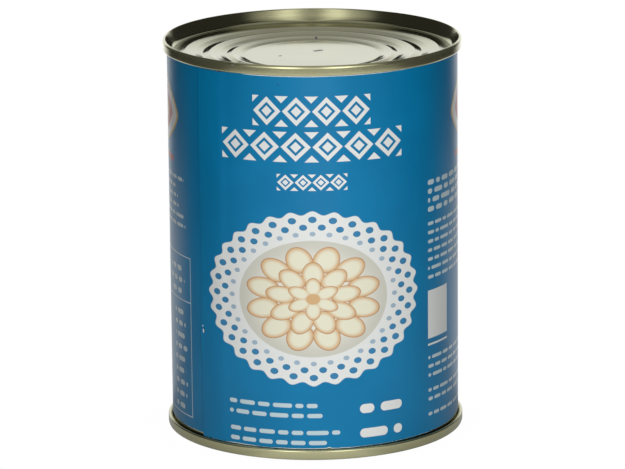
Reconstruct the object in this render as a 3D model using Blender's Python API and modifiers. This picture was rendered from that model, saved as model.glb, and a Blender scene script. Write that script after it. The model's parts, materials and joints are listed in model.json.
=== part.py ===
# A sealed round food tin, standing upright: a welded tinplate body, two double-seamed ends with their rings of
# sealing compound, a lapped paper label, and the peeled water chestnuts packed inside.
# Metres, +Z up, the origin under the tin's middle on the surface it stands on. The front faces -Y.

import math
import random

import bmesh
import bpy
from mathutils import Vector

MM = 0.001

# The tin as a whole
HEIGHT = 115.9 * MM
SEAM_RADIUS = 43.65 * MM
ROUND_STEPS = 40
MERGE_DISTANCE = 0.00001

# Tinplate
END_PLATE = 0.22 * MM
BODY_PLATE = 0.18 * MM
BODY_RADIUS = 42.11 * MM

# The double seam, measured from its crest
SEAM_LENGTH = 3.05 * MM
CURL_RADIUS = 0.45 * MM
CHUCK_WALL_RADIUS = 41.80 * MM
CREST_INNER_RADIUS = 42.60 * MM
CREST_OUTER_RADIUS = 43.20 * MM
COVER_HOOK_TIP = 1.30 * MM
BODY_HOOK_RADIUS = 43.17 * MM
BODY_HOOK_TIP = 2.20 * MM
FLANGE_TOP = 0.66 * MM
FLANGE_START = 1.60 * MM

# Bends of the end's plate: how far outside the chuck wall and how deep, then how far inside the outer line
WALL_BENDS = ((0.01 * MM, 1.70 * MM), (0.13 * MM, 0.95 * MM), (0.38 * MM, 0.40 * MM))
SHOULDER_BENDS = ((0.08 * MM, 0.35 * MM), (0.00 * MM, 0.75 * MM))

# Bends of the body's flange: how far inside the hook, then how far outside the wall, and how far below its top
HOOK_BENDS = ((0.00 * MM, 0.52 * MM), (0.15 * MM, 0.13 * MM), (0.42 * MM, 0.00 * MM))
FLANGE_BENDS = ((0.30 * MM, 0.12 * MM), (0.08 * MM, 0.46 * MM))

# The end panel: radius and depth of the outer face below the seam's crest, inner point and outer point
DISC_RADIUS = 19.80 * MM
DISC_DEPTH = 5.37 * MM
INNER_BAND = ((21.40 * MM, 5.05 * MM), (23.40 * MM, 4.79 * MM))
INNER_GROOVE = ((25.00 * MM, 5.11 * MM), (25.30 * MM, 5.11 * MM))
MIDDLE_BAND = ((27.00 * MM, 4.74 * MM), (29.80 * MM, 4.33 * MM))
OUTER_GROOVE = ((31.90 * MM, 4.75 * MM), (32.20 * MM, 4.75 * MM))
OUTER_BAND = ((34.20 * MM, 4.27 * MM), (37.10 * MM, 3.85 * MM))
LEDGE_DEPTH = 3.85 * MM
WALL_FOOT_ROUND = 1.10 * MM

# The sealing compound under the crest
COMPOUND_INNER_RADIUS = 42.72 * MM
COMPOUND_OUTER_RADIUS = 43.02 * MM
COMPOUND_TOP = 0.28 * MM
COMPOUND_FOOT = 0.50 * MM

# The paper label
PAPER = 0.12 * MM
PAPER_GAP = 0.06 * MM
LABEL_FOOT = 3.30 * MM
LABEL_HEAD = HEIGHT - 3.30 * MM
LAP_EDGE_AZIMUTH = math.radians(-50.2)
LAP_ANGLE = math.radians(10.0)
LAP_RAMP = math.radians(4.5)
LAP_SPARE = math.radians(1.0)

# The peeled water chestnuts
NUT_LAYERS = 5
NUTS_IN_RING = 6
NUT_SIDES = 10
NUT_ROWS = 6
NUT_RADIUS = 13.5 * MM
NUT_HEIGHT = 18.8 * MM
NUT_SQUARENESS = 2.6
NUT_SIZES = (0.94, 1.0)
NUT_TRIMS = (0.965, 1.0)
LAYER_PITCH = 19.2 * MM
TOUCHING_GAP = 0.3 * MM
NUT_SEED = 35

PLATE_GOLD = (0.30, 0.27, 0.16)
COMPOUND_GREY = (0.20, 0.21, 0.20)
LABEL_BLUE = (0.012, 0.17, 0.36)
NUT_CREAM = (0.80, 0.74, 0.58)


def clear_scene():
    """Remove every object of the scene that the file opened with."""
    for obj in list(bpy.data.objects):
        bpy.data.objects.remove(obj, do_unlink=True)


def new_material(name, colour, roughness, metallic):
    """A material with one Principled BSDF in the given colour."""
    material = bpy.data.materials.new(name)
    material.use_nodes = True
    shader = material.node_tree.nodes["Principled BSDF"]
    shader.inputs["Base Color"].default_value = (*colour, 1.0)
    shader.inputs["Roughness"].default_value = roughness
    shader.inputs["Metallic"].default_value = metallic
    return material


def add_object(name, mesh, material, collection):
    """Put a mesh into the collection as a named object with its material."""
    obj = bpy.data.objects.new(name, mesh)
    collection.objects.link(obj)
    mesh.materials.clear()
    mesh.materials.append(material)
    return obj


def arc(centre, radius, start_deg, end_deg, steps):
    """Points on an arc in the X-Z plane, from one angle to the other."""
    points = []
    for i in range(steps + 1):
        angle = math.radians(start_deg + (end_deg - start_deg) * i / steps)
        points.append((centre[0] + radius * math.cos(angle), centre[1] + radius * math.sin(angle)))
    return points


def mitred_offset(path, distance):
    """The path moved sideways to its left, with mitred corners."""
    moved = []
    last = len(path) - 1
    for i, point in enumerate(path):
        here = Vector(point)
        before = (here - Vector(path[i - 1])).normalized() if i > 0 else None
        after = (Vector(path[i + 1]) - here).normalized() if i < last else None
        before = before or after
        after = after or before
        left_before = Vector((-before.y, before.x))
        left_after = Vector((-after.y, after.x))
        mitre = (left_before + left_after).normalized()
        moved.append(here + mitre * distance / mitre.dot(left_before))
    return moved


def sheet_outline(path, thickness):
    """The closed outline of a sheet whose middle runs along the path."""
    left = mitred_offset(path, thickness / 2)
    right = mitred_offset(path, -thickness / 2)
    return left + right[::-1]


def profile_mesh(name, outline, closed):
    """A mesh of edges through the outline's points, in the X-Z plane."""
    shape = bmesh.new()
    corners = [shape.verts.new((point[0], 0.0, point[1])) for point in outline]
    for first, second in zip(corners, corners[1:]):
        shape.edges.new((first, second))
    if closed:
        shape.edges.new((corners[-1], corners[0]))
    mesh = bpy.data.meshes.new(name)
    shape.to_mesh(mesh)
    shape.free()
    return mesh


def turn(obj):
    """Sweep the object's profile once round the Z axis."""
    screw = obj.modifiers.new("Turned", "SCREW")
    screw.axis = "Z"
    screw.angle = math.tau
    screw.steps = ROUND_STEPS
    screw.render_steps = ROUND_STEPS
    screw.use_merge_vertices = True
    screw.merge_threshold = MERGE_DISTANCE
    screw.use_smooth_shade = True


# The ends

def panel_path():
    """The middle of the end's panel from the axis out to the chuck wall's foot, with the crest at zero height."""
    faces = [
        (0.0, DISC_DEPTH),
        (DISC_RADIUS, DISC_DEPTH),
        *INNER_BAND,
        *INNER_GROOVE,
        *MIDDLE_BAND,
        *OUTER_GROOVE,
        *OUTER_BAND,
    ]
    ledge = -LEDGE_DEPTH - END_PLATE / 2
    foot_middle = (CHUCK_WALL_RADIUS - WALL_FOOT_ROUND, ledge + WALL_FOOT_ROUND)
    return [
        *((radius, -depth - END_PLATE / 2) for radius, depth in faces),
        *arc(foot_middle, WALL_FOOT_ROUND, -90, 0, 4),
    ]


def end_seam_path():
    """The end's plate from the chuck wall over the crest, down the outside and up into the cover hook."""
    outside = SEAM_RADIUS - END_PLATE / 2
    curl_height = -SEAM_LENGTH + END_PLATE / 2 + CURL_RADIUS
    crest = -END_PLATE / 2
    return [
        *((CHUCK_WALL_RADIUS + out, -depth) for out, depth in WALL_BENDS),
        (CREST_INNER_RADIUS, crest),
        (CREST_OUTER_RADIUS, crest),
        *((outside - inward, -depth) for inward, depth in SHOULDER_BENDS),
        *arc((outside - CURL_RADIUS, curl_height), CURL_RADIUS, 0, -180, 4),
        (outside - 2 * CURL_RADIUS, -COVER_HOOK_TIP),
    ]


def make_end(name, material, collection):
    """One stamped end, its crest at zero height and its outer face up."""
    outline = sheet_outline(panel_path() + end_seam_path(), END_PLATE)
    end = add_object(name, profile_mesh(name, outline, closed=False), material, collection)
    turn(end)
    return end


def make_compound(name, material, collection):
    """The ring of sealing compound under one end's crest."""
    outline = [
        (COMPOUND_INNER_RADIUS, -COMPOUND_TOP),
        (COMPOUND_OUTER_RADIUS, -COMPOUND_TOP),
        (COMPOUND_OUTER_RADIUS, -COMPOUND_FOOT),
        (COMPOUND_INNER_RADIUS, -COMPOUND_FOOT),
    ]
    ring = add_object(name, profile_mesh(name, outline, closed=True), material, collection)
    turn(ring)
    return ring


def place_top(obj):
    """Lift a piece made at the crest's height to the tin's top."""
    obj.location = (0.0, 0.0, HEIGHT)


def place_bottom(obj):
    """Turn a piece made at the crest's height over, onto the surface that the tin stands on."""
    obj.rotation_euler = (math.pi, 0.0, 0.0)


# The body

def flange_path():
    """One end of the body's plate, from the tip of its hook over the flange and down to the straight wall."""
    return [
        (BODY_HOOK_RADIUS, -BODY_HOOK_TIP),
        *((BODY_HOOK_RADIUS - inward, -FLANGE_TOP - below) for inward, below in HOOK_BENDS),
        *((BODY_RADIUS + out, -FLANGE_TOP - below) for out, below in FLANGE_BENDS),
        (BODY_RADIUS, -FLANGE_START),
    ]


def make_body(material, collection):
    """The tube of the tin with a hook at each end."""
    top = [(radius, HEIGHT + height) for radius, height in flange_path()]
    bottom = [(radius, -height) for radius, height in reversed(flange_path())]
    outline = sheet_outline(top + bottom, BODY_PLATE)
    body = add_object("can_body", profile_mesh("can_body", outline, closed=True), material, collection)
    turn(body)
    return body


# The label

def on_facets(radius, angle):
    """The distance from the axis to the side of a regular prism with its corners at the given radius."""
    side = math.tau / ROUND_STEPS
    return radius * math.cos(side / 2) / math.cos(angle % side - side / 2)


def label_path():
    """The sheet's inner face seen from above, from the lap's outer edge once round and on under itself."""
    start = LAP_EDGE_AZIMUTH - math.pi / 2
    side = math.tau / ROUND_STEPS
    first_corner = math.floor(start / side) + 1
    end = start + math.tau + LAP_ANGLE
    angles = [start]
    angles += [corner * side for corner in range(first_corner, math.ceil(end / side))]
    angles.append(end)
    inner = BODY_RADIUS + BODY_PLATE / 2 + PAPER_GAP
    raised = PAPER + PAPER_GAP
    path = []
    for angle in angles:
        past_lap = (angle - start - LAP_ANGLE - LAP_SPARE) / LAP_RAMP
        lift = raised * (1.0 - min(max(past_lap, 0.0), 1.0))
        reach = on_facets(inner + lift, angle)
        path.append((reach * math.cos(angle), reach * math.sin(angle)))
    return path


def make_label(material, collection):
    """The paper sheet round the body, its last stretch lapped over its first."""
    shape = bmesh.new()
    corners = [shape.verts.new((x, y, LABEL_FOOT)) for x, y in label_path()]
    edges = [shape.edges.new(pair) for pair in zip(corners, corners[1:])]
    raised = bmesh.ops.extrude_edge_only(shape, edges=edges)["geom"]
    upper = [item for item in raised if isinstance(item, bmesh.types.BMVert)]
    bmesh.ops.translate(shape, verts=upper, vec=(0.0, 0.0, LABEL_HEAD - LABEL_FOOT))
    bmesh.ops.recalc_face_normals(shape, faces=shape.faces)
    face = shape.faces[:][0]
    if face.normal.dot(Vector((face.calc_center_median().x, face.calc_center_median().y, 0.0))) < 0.0:
        bmesh.ops.reverse_faces(shape, faces=shape.faces)
    mesh = bpy.data.meshes.new("label")
    shape.to_mesh(mesh)
    shape.free()
    label = add_object("label", mesh, material, collection)
    paper = label.modifiers.new("Paper", "SOLIDIFY")
    paper.thickness = PAPER
    paper.offset = 1.0
    paper.use_even_offset = True
    return label


# The contents

def make_nut(name, draw, material, collection):
    """One peeled water chestnut: a squat barrel with a knife-cut top, foot and sides, resting at zero height."""
    size = draw.uniform(*NUT_SIZES)
    squat = draw.uniform(*NUT_SIZES)
    shape = bmesh.new()
    bmesh.ops.create_uvsphere(shape, u_segments=NUT_SIDES, v_segments=NUT_ROWS, radius=1.0)
    for corner in shape.verts:
        level = corner.co.z
        flat = math.hypot(corner.co.x, corner.co.y)
        stretch = (abs(level) ** NUT_SQUARENESS + flat ** NUT_SQUARENESS) ** (-1.0 / NUT_SQUARENESS)
        trim = draw.uniform(*NUT_TRIMS)
        corner.co.x *= stretch * trim * size * NUT_RADIUS
        corner.co.y *= stretch * trim * size * NUT_RADIUS
        corner.co.z = (level * stretch * squat + 1.0) * NUT_HEIGHT / 2
    mesh = bpy.data.meshes.new(name)
    shape.to_mesh(mesh)
    shape.free()
    return add_object(name, mesh, material, collection)


def pack_nuts(material, collection):
    """Five layers of seven chestnuts on the bottom end, each layer turned by half a place."""
    draw = random.Random(NUT_SEED)
    wall = (BODY_RADIUS - BODY_PLATE / 2) * math.cos(math.pi / ROUND_STEPS)
    ring_radius = wall - NUT_RADIUS - TOUCHING_GAP
    floor = DISC_DEPTH + END_PLATE + TOUCHING_GAP
    count = 0
    for layer in range(NUT_LAYERS):
        places = [(0.0, 0.0)]
        for i in range(NUTS_IN_RING):
            angle = math.tau * (i + 0.5 * (layer % 2)) / NUTS_IN_RING
            places.append((ring_radius * math.cos(angle), ring_radius * math.sin(angle)))
        for x, y in places:
            count += 1
            nut = make_nut(f"chestnut_{count:02d}", draw, material, collection)
            nut.location = (x, y, floor + layer * LAYER_PITCH)
            nut.rotation_euler = (0.0, 0.0, draw.uniform(0.0, math.tau))


def main():
    """Model the tin."""
    clear_scene()
    collection = bpy.data.collections.new("food_tin")
    bpy.context.scene.collection.children.link(collection)
    plate = new_material("gold_lacquered_tinplate", PLATE_GOLD, 0.35, 1.0)
    compound = new_material("sealing_compound", COMPOUND_GREY, 0.8, 0.0)
    paper = new_material("coated_label_paper", LABEL_BLUE, 0.45, 0.0)
    flesh = new_material("chestnut_flesh", NUT_CREAM, 0.55, 0.0)
    make_body(plate, collection)
    place_top(make_end("top_end", plate, collection))
    place_bottom(make_end("bottom_end", plate, collection))
    place_top(make_compound("top_compound", compound, collection))
    place_bottom(make_compound("bottom_compound", compound, collection))
    make_label(paper, collection)
    pack_nuts(flesh, collection)


main()
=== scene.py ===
"""Looks of a sealed food tin: lacquered tinplate ends and body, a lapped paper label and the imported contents.

Sizes are in millimetres inside the classes and in metres in the meshes. The front of the label faces -Y. An azimuth
is measured from the front and grows to the right of someone who looks at it, so a point at radius r has
x = r sin(azimuth) and y = -r cos(azimuth).
"""

import json
import logging
import math
from dataclasses import dataclass, field
from enum import Enum
from typing import Any, Union

import bpy
import numpy as np
import numpy.typing as npt
from mathutils import Matrix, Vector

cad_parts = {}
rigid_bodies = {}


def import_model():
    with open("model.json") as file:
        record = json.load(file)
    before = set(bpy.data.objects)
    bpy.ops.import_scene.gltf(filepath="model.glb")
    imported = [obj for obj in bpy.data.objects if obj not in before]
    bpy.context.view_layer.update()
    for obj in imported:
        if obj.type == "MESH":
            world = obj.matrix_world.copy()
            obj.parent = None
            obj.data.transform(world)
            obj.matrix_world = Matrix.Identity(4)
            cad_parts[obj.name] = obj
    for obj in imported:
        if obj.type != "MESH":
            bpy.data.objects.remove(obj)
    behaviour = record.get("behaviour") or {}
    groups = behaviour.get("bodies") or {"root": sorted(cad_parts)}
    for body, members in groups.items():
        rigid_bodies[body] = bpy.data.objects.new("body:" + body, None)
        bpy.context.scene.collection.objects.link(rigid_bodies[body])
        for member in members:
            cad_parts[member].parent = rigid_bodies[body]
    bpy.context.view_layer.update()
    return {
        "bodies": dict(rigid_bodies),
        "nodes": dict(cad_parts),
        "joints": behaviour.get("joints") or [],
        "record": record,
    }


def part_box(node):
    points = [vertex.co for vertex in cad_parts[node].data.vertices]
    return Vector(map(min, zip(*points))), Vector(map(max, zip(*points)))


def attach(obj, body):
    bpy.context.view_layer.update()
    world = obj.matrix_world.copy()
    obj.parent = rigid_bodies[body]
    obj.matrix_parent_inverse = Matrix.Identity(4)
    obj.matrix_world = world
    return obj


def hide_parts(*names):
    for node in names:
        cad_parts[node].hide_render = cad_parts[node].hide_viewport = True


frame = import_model()

LOG = logging.getLogger("food_tin")
MM = 0.001
TIN_HEIGHT = 115.9
ORIGIN = (0.0, 0.0, 0.0)
EVEN = (1.0, 1.0, 1.0)

Array = npt.NDArray[np.float64]
Indices = npt.NDArray[np.int64]
Colour = tuple[float, float, float]
Point = tuple[float, float]
Triple = tuple[float, float, float]
Tree = bpy.types.NodeTree
Material = bpy.types.Material
Feed = Union["Value", float, tuple[float, ...]]
Inputs = dict[Union[str, int], Feed]


class Slot(Enum):
    """The record's material slots."""

    TINPLATE = "tinplate"
    COMPOUND = "compound"
    LABEL_PAPER = "label_paper"
    CHESTNUT = "chestnut"


class Side(Enum):
    """The end of the tin that a piece closes."""

    TOP = "top"
    BOTTOM = "bottom"


# Surfaces


@dataclass
class Surface:
    """A mesh as whole arrays: points in millimetres, quads, triangles, and a UV for each corner in metres."""

    points: Array
    quads: Indices
    quad_uv: Array
    triangles: Indices = field(default_factory=lambda: np.empty((0, 3), np.int64))
    triangle_uv: Array = field(default_factory=lambda: np.empty((0, 3, 2)))

    def volume(self) -> float:
        """Return the signed volume, a sixth of the sum of the triple products of each triangle's corners."""
        fans = np.vstack([self.triangles, self.quads[:, [0, 1, 2]], self.quads[:, [0, 2, 3]]])
        a, b, c = (self.points[fans[:, k]] for k in range(3))
        return float(np.einsum("ij,ij->i", a, np.cross(b, c)).sum() / 6.0)

    def facing_out(self) -> "Surface":
        """Return the closed surface with its faces wound to point outwards."""
        if self.volume() >= 0.0:
            return self
        faces = (self.quads, self.quad_uv, self.triangles, self.triangle_uv)
        return Surface(self.points, *(values[:, ::-1] for values in faces))


def grid_quads(rows: int, columns: int, close_rows: bool, close_columns: bool) -> tuple[Indices, Indices]:
    """Join a grid of points into quads.

    Args:
        rows: Number of rows of points.
        columns: Number of points in a row; point (i, j) has the index i * columns + j.
        close_rows: Whether the last row joins the first.
        close_columns: Whether the last column joins the first.

    Returns:
        The quads' point indices, and each corner's row and column without wrapping, of shape (n, 4, 2).
    """
    last_row, last_column = rows - (not close_rows), columns - (not close_columns)
    corner = np.stack(np.meshgrid(np.arange(last_row), np.arange(last_column), indexing="ij"), 2).reshape(-1, 1, 2)
    steps = corner + np.array([(0, 0), (0, 1), (1, 1), (1, 0)])
    return (steps[..., 0] % rows) * columns + steps[..., 1] % columns, steps


def filleted(corners: Array, radius: float | Array, steps: int) -> Array:
    """Round a path's corners with arcs of a circle.

    The arc at a corner P touches both sides at the distance radius * tan(turn / 2), at most 0.48 of the shorter side.
    With A and B the touching points and w = cos(turn / 2) it is the rational curve
    ((1-s)^2 A + 2 s (1-s) w P + s^2 B) / ((1-s)^2 + 2 s (1-s) w + s^2) for s from 0 to 1.

    Args:
        corners: The path's corners, of shape (n, 2).
        radius: Radius of the arcs, or one for each corner between the first and the last.
        steps: Points on each arc.

    Returns:
        The rounded path, of shape (m, 2).
    """
    here = corners[1:-1]
    back, ahead = corners[:-2] - here, corners[2:] - here
    back_length, ahead_length = np.linalg.norm(back, axis=1), np.linalg.norm(ahead, axis=1)
    back, ahead = back / back_length[:, None], ahead / ahead_length[:, None]
    turn = math.pi - np.arccos(np.clip((back * ahead).sum(1), -1.0, 1.0))
    reach = np.minimum(radius * np.tan(turn / 2.0), 0.48 * np.minimum(back_length, ahead_length))[:, None]
    start, end = here + back * reach, here + ahead * reach
    s = np.linspace(0.0, 1.0, steps)[None, :, None]
    weight = np.cos(turn / 2.0)[:, None, None]
    near, middle, far = (1.0 - s) ** 2, 2.0 * s * (1.0 - s) * weight, s**2
    arcs = (near * start[:, None] + middle * here[:, None] + far * end[:, None]) / (near + middle + far)
    return np.vstack([corners[:1], arcs.reshape(-1, 2), corners[-1:]])


def spread(path: Array, longest: float) -> Array:
    """Put extra points on a path's long runs, evenly spaced, so that none is longer than the given length."""
    runs = np.linalg.norm(np.diff(path, axis=0), axis=1)
    path, runs = path[np.r_[True, runs > 1e-7]], runs[runs > 1e-7]
    counts = np.ceil(runs / longest).astype(int)
    run = np.repeat(np.arange(len(counts)), counts)
    share = (np.arange(len(run)) - np.repeat(np.cumsum(counts) - counts, counts)) / counts[run]
    return np.vstack([path[run] + (path[run + 1] - path[run]) * share[:, None], path[-1:]])


def sheet_section(middle: Array, thickness: float) -> Array:
    """Give a path its plate thickness.

    Each point moves to both sides by half the thickness over the cosine of half the turn, along the mean of the
    normals of the runs that meet there. The left side comes first, then the right side backwards.
    """
    runs = np.diff(middle, axis=0)
    runs /= np.linalg.norm(runs, axis=1)[:, None]
    before, after = np.vstack([runs[:1], runs]), np.vstack([runs, runs[-1:]])
    left = np.stack([-(before + after)[:, 1], (before + after)[:, 0]], 1)
    left /= np.linalg.norm(left, axis=1)[:, None]
    cosine = np.abs(left[:, 0] * -before[:, 1] + left[:, 1] * before[:, 0])
    shift = left * (thickness / 2.0 / cosine)[:, None]
    return np.vstack([middle + shift, (middle - shift)[::-1]])


def turned(section: Array, columns: int, closed: bool) -> Surface:
    """Sweep a section once round the Z axis: (r, z) goes to (r sin a, -r cos a, z) for a from 0 to a full turn.

    Args:
        section: Radius and height of the section's points, of shape (n, 2). A first or last radius of zero is a pole.
        columns: Number of steps round the axis.
        closed: Whether the section's last point joins its first.

    Returns:
        The closed surface, its UV the arc length round and the length along the section.
    """
    along = np.r_[0.0, np.cumsum(np.linalg.norm(np.diff(section, axis=0), axis=1))]
    on_axis = section[:, 0] < 1e-6
    ring, ring_along = section[~on_axis], along[~on_axis]
    angle = np.arange(columns) * (math.tau / columns)
    radius, height = ring[:, :1], ring[:, 1:]
    points = np.stack([radius * np.sin(angle), -radius * np.cos(angle), height + 0.0 * angle], 2).reshape(-1, 3)
    quads, steps = grid_quads(len(ring), columns, closed, True)
    widest = float(section[:, 0].max())
    closing = along[-1] + float(np.linalg.norm(section[-1] - section[0]))
    lengths = np.r_[ring_along, closing] if closed else ring_along
    quad_uv = np.stack([steps[..., 1] * (math.tau / columns) * widest, lengths[steps[..., 0]]], 2) * MM
    triangles, triangle_uv = np.empty((0, 3), np.int64), np.empty((0, 3, 2))
    column = np.arange(columns)
    for pole, row in ((0, 0), (len(section) - 1, len(ring) - 1)):
        if not on_axis[pole]:
            continue
        start = row * columns
        fan = np.stack([start + column, start + (column + 1) % columns, np.full(columns, len(points))], 1)
        around = (column[:, None] + np.array([0.0, 1.0, 0.5])) * (math.tau / columns) * widest
        fan_uv = np.stack([around, np.tile([ring_along[row], ring_along[row], along[pole]], (columns, 1))], 2) * MM
        points = np.vstack([points, [0.0, 0.0, section[pole, 1]]])
        order = slice(None, None, -1) if pole == 0 else slice(None)
        triangles = np.vstack([triangles, fan[:, order]])
        triangle_uv = np.vstack([triangle_uv, fan_uv[:, order]])
    if pole_flip(quads, triangles):
        triangles, triangle_uv = triangles[:, ::-1], triangle_uv[:, ::-1]
    return Surface(points, quads, quad_uv, triangles, triangle_uv).facing_out()


def pole_flip(quads: Indices, triangles: Indices) -> bool:
    """Tell whether the first triangle runs along a quad's edge in the quad's own direction, so the fans must turn."""
    if not len(triangles):
        return False
    first, second = triangles[0, :2]
    heads, tails = quads, np.roll(quads, -1, axis=1)
    return bool(((heads == first) & (tails == second)).any())


def add_piece(name: str, node: str, surface: Surface, material: Material, uv_name: str,
              values: dict[str, Array] | None = None, sharp_angle: float = 40.0) -> None:
    """Put a surface into the scene as a piece that rides on the tin in place of a node.

    Args:
        name: The piece's name.
        node: The node that it replaces.
        surface: Its mesh, in millimetres.
        material: Its finish.
        uv_name: Name of its UV map.
        values: Numbers for each point, stored as attributes under their names.
        sharp_angle: Edges that turn by more degrees than this stay crisp.
    """
    mesh = bpy.data.meshes.new(name)
    quads, triangles = surface.quads, surface.triangles
    loops = np.r_[quads.ravel(), triangles.ravel()].astype(np.int32)
    starts = np.r_[np.arange(len(quads)) * 4, quads.size + np.arange(len(triangles)) * 3].astype(np.int32)
    mesh.vertices.add(len(surface.points))
    mesh.vertices.foreach_set("co", (surface.points * MM).astype(np.float32).ravel())
    mesh.loops.add(len(loops))
    mesh.loops.foreach_set("vertex_index", loops)
    mesh.polygons.add(len(starts))
    mesh.polygons.foreach_set("loop_start", starts)
    mesh.polygons.foreach_set("use_smooth", np.ones(len(starts), bool))
    mesh.update(calc_edges=True)
    uv = mesh.uv_layers.new(name=uv_name)
    uv.data.foreach_set("uv", np.r_[surface.quad_uv.ravel(), surface.triangle_uv.ravel()].astype(np.float32))
    for key, numbers in (values or {}).items():
        mesh.attributes.new(key, "FLOAT", "POINT").data.foreach_set("value", numbers.astype(np.float32))
    mesh.set_sharp_from_angle(angle=math.radians(sharp_angle))
    mesh.materials.append(material)
    piece = bpy.data.objects.new(name, mesh)
    bpy.context.scene.collection.objects.link(piece)
    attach(piece, "root")
    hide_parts(node)
    LOG.info("%s: %d points, %d triangles", name, len(surface.points), 2 * len(quads) + len(triangles))


def carried(surface: Surface, side: Side) -> Surface:
    """Carry a surface made round the seam's crest to its end of the tin, turned over for the bottom."""
    if side is Side.TOP:
        surface.points = surface.points + (0.0, 0.0, TIN_HEIGHT)
    else:
        surface.points = surface.points * (1.0, -1.0, -1.0)
    return surface


def cosine(degrees: float) -> float:
    """Return the cosine of an angle in degrees."""
    return math.cos(math.radians(degrees))


def smooth_step(low: float, high: float, value: Array) -> Array:
    """Return 3 s^2 - 2 s^3, where s goes from 0 at low to 1 at high and stays there."""
    share = np.clip((value - low) / (high - low), 0.0, 1.0)
    return share * share * (3.0 - 2.0 * share)


# Nodes


@dataclass(frozen=True)
class Value:
    """What one socket of a node tree gives. Python's operators on it add Math nodes."""

    graph: "Graph"
    socket: bpy.types.NodeSocket

    def __add__(self, other: Feed) -> "Value":
        """Return the sum."""
        return self.graph.math("ADD", self, other)

    def __sub__(self, other: Feed) -> "Value":
        """Return this less the other."""
        return self.graph.math("SUBTRACT", self, other)

    def __rsub__(self, other: Feed) -> "Value":
        """Return the other less this."""
        return self.graph.math("SUBTRACT", other, self)

    def __mul__(self, other: Feed) -> "Value":
        """Return the product."""
        return self.graph.math("MULTIPLY", self, other)

    def __truediv__(self, other: Feed) -> "Value":
        """Return this over the other."""
        return self.graph.math("DIVIDE", self, other)

    def __abs__(self) -> "Value":
        """Return the absolute value."""
        return self.graph.math("ABSOLUTE", self)

    __radd__, __rmul__ = __add__, __mul__


@dataclass
class Graph:
    """Adds nodes to one node tree and feeds their inputs."""

    tree: Tree

    def feed(self, node: bpy.types.Node, inputs: Inputs) -> bpy.types.Node:
        """Link each named or numbered input, or set it to a constant, and return the node."""
        for key, value in inputs.items():
            socket = node.inputs[key]
            if isinstance(value, Value):
                self.tree.links.new(value.socket, socket)
            elif isinstance(value, tuple) and socket.type == "RGBA":
                socket.default_value = (*value, 1.0)
            else:
                socket.default_value = value
        return node

    def node(self, kind: str, inputs: Inputs | None = None, **settings: Any) -> bpy.types.Node:
        """Add a node, set its properties and feed its inputs."""
        new = self.tree.nodes.new(kind)
        for key, value in settings.items():
            setattr(new, key, value)
        return self.feed(new, inputs or {})

    def get(self, kind: str, inputs: Inputs | None = None, output: Union[str, int] = 0, **settings: Any) -> Value:
        """Add a node and return one of its outputs."""
        return Value(self, self.node(kind, inputs, **settings).outputs[output])

    def math(self, operation: str, *values: Feed, clamp: bool = False) -> Value:
        """Return the result of a Math node."""
        return self.get("ShaderNodeMath", dict(enumerate(values)), operation=operation, use_clamp=clamp)

    def most(self, first: Feed, *others: Feed) -> Feed:
        """Return the largest of some numbers."""
        for other in others:
            first = self.math("MAXIMUM", first, other)
        return first

    def length(self, x: Value, y: Value) -> Value:
        """Return the square root of the sum of two squares."""
        return self.math("SQRT", x * x + y * y)

    def vector(self, operation: str, *values: Feed, scale: Feed = 1.0) -> Value:
        """Return what a Vector Math node gives: a number for a dot product or a length, or else a vector."""
        output = "Value" if operation in ("DOT_PRODUCT", "LENGTH") else 0
        return self.get("ShaderNodeVectorMath", {**dict(enumerate(values)), 3: scale}, output, operation=operation)

    def split(self, vector: Feed) -> list[Value]:
        """Return a vector's three numbers."""
        return [Value(self, part) for part in self.node("ShaderNodeSeparateXYZ", {0: vector}).outputs]

    def join(self, x: Feed, y: Feed, z: Feed = 0.0) -> Value:
        """Return a vector of three numbers."""
        return self.get("ShaderNodeCombineXYZ", {0: x, 1: y, 2: z})

    def mix(self, share: Feed, first: Feed, second: Feed) -> Value:
        """Return the first colour where the share is 0 and the second where it is 1."""
        return self.get("ShaderNodeMix", {0: share, 6: first, 7: second}, 2, data_type="RGBA")

    def step(self, low: float, high: float, value: Feed, start: float = 0.0, end: float = 1.0) -> Value:
        """Return a number that goes smoothly from start at low to end at high."""
        inputs = {0: value, 1: low, 2: high, 3: start, 4: end}
        return self.get("ShaderNodeMapRange", inputs, interpolation_type="SMOOTHSTEP")

    def below(self, low: float, high: float, value: Feed) -> Value:
        """Return a number that falls smoothly from 1 at low to 0 at high."""
        return self.step(low, high, value, 1.0, 0.0)

    def noise(self, place: Feed, scale: Feed, detail: float = 2.0, roughness: float = 0.5) -> Value:
        """Return smooth noise between 0 and 1 at a place."""
        return self.get("ShaderNodeTexNoise", {"Vector": place, "Scale": scale, "Detail": detail,
                                                  "Roughness": roughness})

    def chance(self, x: Feed, y: Feed, z: Feed) -> Value:
        """Return white noise between 0 and 1, one number for each three."""
        return self.get("ShaderNodeTexWhiteNoise", {0: self.join(x, y, z)}, noise_dimensions="3D")

    def place(self, name: str = "Object") -> Value:
        """Return the object coordinates in millimetres, or with another name that UV map's."""
        if name == "Object":
            source = self.get("ShaderNodeTexCoord", output="Object")
        else:
            source = self.get("ShaderNodeUVMap", uv_map=name)
        return self.vector("SCALE", source, scale=1.0 / MM)

    def stored(self, name: str) -> Value:
        """Return a number that the mesh holds for each point."""
        return self.get("ShaderNodeAttribute", output="Fac", attribute_name=name, attribute_type="GEOMETRY")

    def group(self, tree: Tree, inputs: Inputs) -> dict[str, Value]:
        """Place a node group and return its outputs by name."""
        outputs = self.node("ShaderNodeGroup", inputs, node_tree=tree).outputs
        return {output.name: Value(self, output) for output in outputs}


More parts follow.
